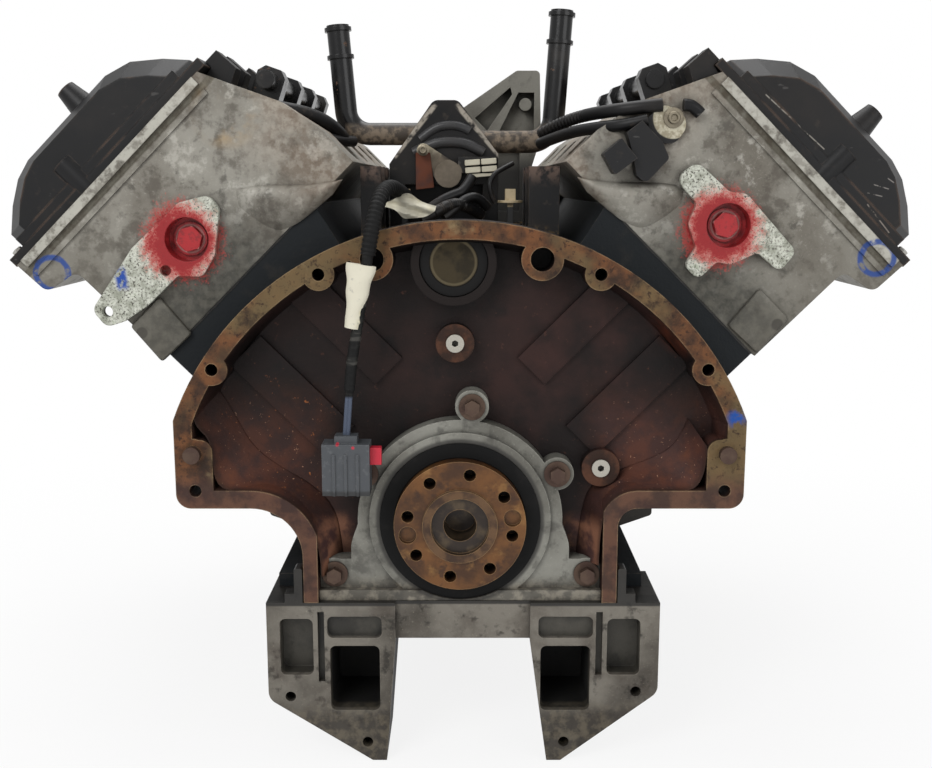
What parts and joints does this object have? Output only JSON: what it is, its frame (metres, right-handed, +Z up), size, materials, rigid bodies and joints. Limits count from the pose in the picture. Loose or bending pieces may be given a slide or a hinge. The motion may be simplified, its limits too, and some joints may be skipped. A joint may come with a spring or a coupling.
{
  "type": "car engine",
  "caption": "V-shaped eight-cylinder engine long block with dished bell housing face, cylinder heads, black cam covers, horned sump and hanging harness lead.",
  "frame": {"origin": "crank axis at the gearbox mating plane of the bell", "axes": "-Y out of the bell towards the gearbox, +Z up, +X to the right seen from the gearbox"},
  "size_m": [0.7628, 0.5995, 0.6417],
  "materials": {
    "cast_block": "rusty dark casting",
    "cast_aluminium": "sand-cast, weathered",
    "dark_aluminium": "oily casting",
    "black_plastic": "moulded, satin",
    "grey_plastic": "moulded",
    "red_plastic": "moulded",
    "cream_plastic": "moulded",
    "black_rubber": "soft",
    "lead_tape": "taped harness",
    "forged_steel": "machined, tarnished bronze",
    "plain_steel": "zinc plated, dull",
    "painted_steel": "black enamel",
    "gasket_sheet": "coated sheet",
    "piston_alloy": "machined"
  },
  "bodies": {
    "engine_block": {"cylinder_block": "cast_block", "main_bearing_caps": "cast_block", "main_cap_bolts": "plain_steel", "main_bearing_shells": "plain_steel", "rear_seal_carrier": "cast_aluminium", "rear_crank_seal": "black_rubber", "seal_carrier_bolts": "plain_steel", "block_plugs": "plain_steel", "bell_dowels": "plain_steel", "sump_body": "dark_aluminium", "lower_oil_pan": "painted_steel", "oil_drain_plug": "plain_steel", "sump_bolts": "plain_steel", "oil_pickup_pipe": "plain_steel", "cam_bearing_caps": "cast_aluminium", "cam_cover_bolts": "plain_steel", "valves_and_springs": "plain_steel", "head_plugs": "plain_steel", "timing_chains": "plain_steel", "front_timing_cover": "cast_aluminium", "front_crank_seal": "black_rubber", "front_cover_bolts": "plain_steel", "water_pump_housing": "cast_aluminium", "valley_cover": "black_plastic", "coolant_housing": "black_plastic", "accessory_bracket": "cast_aluminium", "injector_caps": "black_plastic", "valley_sensor": "black_plastic", "cam_position_sensor": "black_plastic", "engine_mount_brackets": "dark_aluminium", "cable_clips": "cream_plastic", "harness_lead": "lead_tape", "harness_connector": "grey_plastic", "connector_lock": "red_plastic", "cylinder_head_right": "cast_aluminium", "head_gasket_right": "gasket_sheet", "cam_cover_right": "black_plastic", "heater_pipe_right": "painted_steel", "fuel_rail_right": "painted_steel", "cylinder_head_left": "cast_aluminium", "head_gasket_left": "gasket_sheet", "cam_cover_left": "black_plastic", "heater_pipe_left": "painted_steel", "fuel_rail_left": "painted_steel"},
    "crank": {"crankshaft": "forged_steel", "crank_damper": "painted_steel", "damper_bolt": "plain_steel"},
    "cam_outer_right": {"camshaft_outer_right": "forged_steel"},
    "cam_inner_right": {"camshaft_inner_right": "forged_steel"},
    "cam_outer_left": {"camshaft_outer_left": "forged_steel"},
    "cam_inner_left": {"camshaft_inner_left": "forged_steel"},
    "pump_wheel": {"water_pump_pulley": "plain_steel"},
    "piston_right_1": {"piston_right_1": "piston_alloy"},
    "piston_right_2": {"piston_right_2": "piston_alloy"},
    "piston_right_3": {"piston_right_3": "piston_alloy"},
    "piston_right_4": {"piston_right_4": "piston_alloy"},
    "piston_left_1": {"piston_left_1": "piston_alloy"},
    "piston_left_2": {"piston_left_2": "piston_alloy"},
    "piston_left_3": {"piston_left_3": "piston_alloy"},
    "piston_left_4": {"piston_left_4": "piston_alloy"}
  },
  "joints": [
    {"name": "crank_turn", "type": "hinge", "parent": "engine_block", "child": "crank", "pos_m": [0, 0.25, 0], "axis": [0, 1, 0], "continuous": true},
    {"name": "cam_outer_right_turn", "type": "hinge", "parent": "engine_block", "child": "cam_outer_right", "pos_m": [0.30264, 0.25, 0.25173], "axis": [0, 1, 0], "continuous": true},
    {"name": "cam_inner_right_turn", "type": "hinge", "parent": "engine_block", "child": "cam_inner_right", "pos_m": [0.25173, 0.25, 0.30264], "axis": [0, 1, 0], "continuous": true},
    {"name": "cam_outer_left_turn", "type": "hinge", "parent": "engine_block", "child": "cam_outer_left", "pos_m": [-0.30264, 0.25, 0.25173], "axis": [0, 1, 0], "continuous": true},
    {"name": "cam_inner_left_turn", "type": "hinge", "parent": "engine_block", "child": "cam_inner_left", "pos_m": [-0.25173, 0.25, 0.30264], "axis": [0, 1, 0], "continuous": true},
    {"name": "pump_turn", "type": "hinge", "parent": "engine_block", "child": "pump_wheel", "pos_m": [0, 0.553, 0.168], "axis": [0, 1, 0], "continuous": true},
    {"name": "piston_right_1_slide", "type": "slide", "parent": "engine_block", "child": "piston_right_1", "axis": [0.7071, 0, 0.7071], "range_m": [-0.07228, 0.01572]},
    {"name": "piston_right_2_slide", "type": "slide", "parent": "engine_block", "child": "piston_right_2", "axis": [0.7071, 0, 0.7071], "range_m": [-0.07228, 0.01572]},
    {"name": "piston_right_3_slide", "type": "slide", "parent": "engine_block", "child": "piston_right_3", "axis": [0.7071, 0, 0.7071], "range_m": [-0.01005, 0.07795]},
    {"name": "piston_right_4_slide", "type": "slide", "parent": "engine_block", "child": "piston_right_4", "axis": [0.7071, 0, 0.7071], "range_m": [-0.01005, 0.07795]},
    {"name": "piston_left_1_slide", "type": "slide", "parent": "engine_block", "child": "piston_left_1", "axis": [-0.7071, 0, 0.7071], "range_m": [-0.07228, 0.01572]},
    {"name": "piston_left_2_slide", "type": "slide", "parent": "engine_block", "child": "piston_left_2", "axis": [-0.7071, 0, 0.7071], "range_m": [-0.01005, 0.07795]},
    {"name": "piston_left_3_slide", "type": "slide", "parent": "engine_block", "child": "piston_left_3", "axis": [-0.7071, 0, 0.7071], "range_m": [-0.07228, 0.01572]},
    {"name": "piston_left_4_slide", "type": "slide", "parent": "engine_block", "child": "piston_left_4", "axis": [-0.7071, 0, 0.7071], "range_m": [-0.01005, 0.07795]}
  ],
  "couplings": [
    {"joint": "cam_outer_right_turn", "follows": "crank_turn", "ratio": 0.5},
    {"joint": "cam_inner_right_turn", "follows": "crank_turn", "ratio": 0.5},
    {"joint": "cam_outer_left_turn", "follows": "crank_turn", "ratio": 0.5},
    {"joint": "cam_inner_left_turn", "follows": "crank_turn", "ratio": 0.5},
    {"joint": "piston_left_3_slide", "follows": "piston_right_1_slide", "ratio": 1},
    {"joint": "piston_left_1_slide", "follows": "piston_right_2_slide", "ratio": 1},
    {"joint": "piston_left_4_slide", "follows": "piston_right_3_slide", "ratio": 1},
    {"joint": "piston_left_2_slide", "follows": "piston_right_4_slide", "ratio": 1}
  ]
}
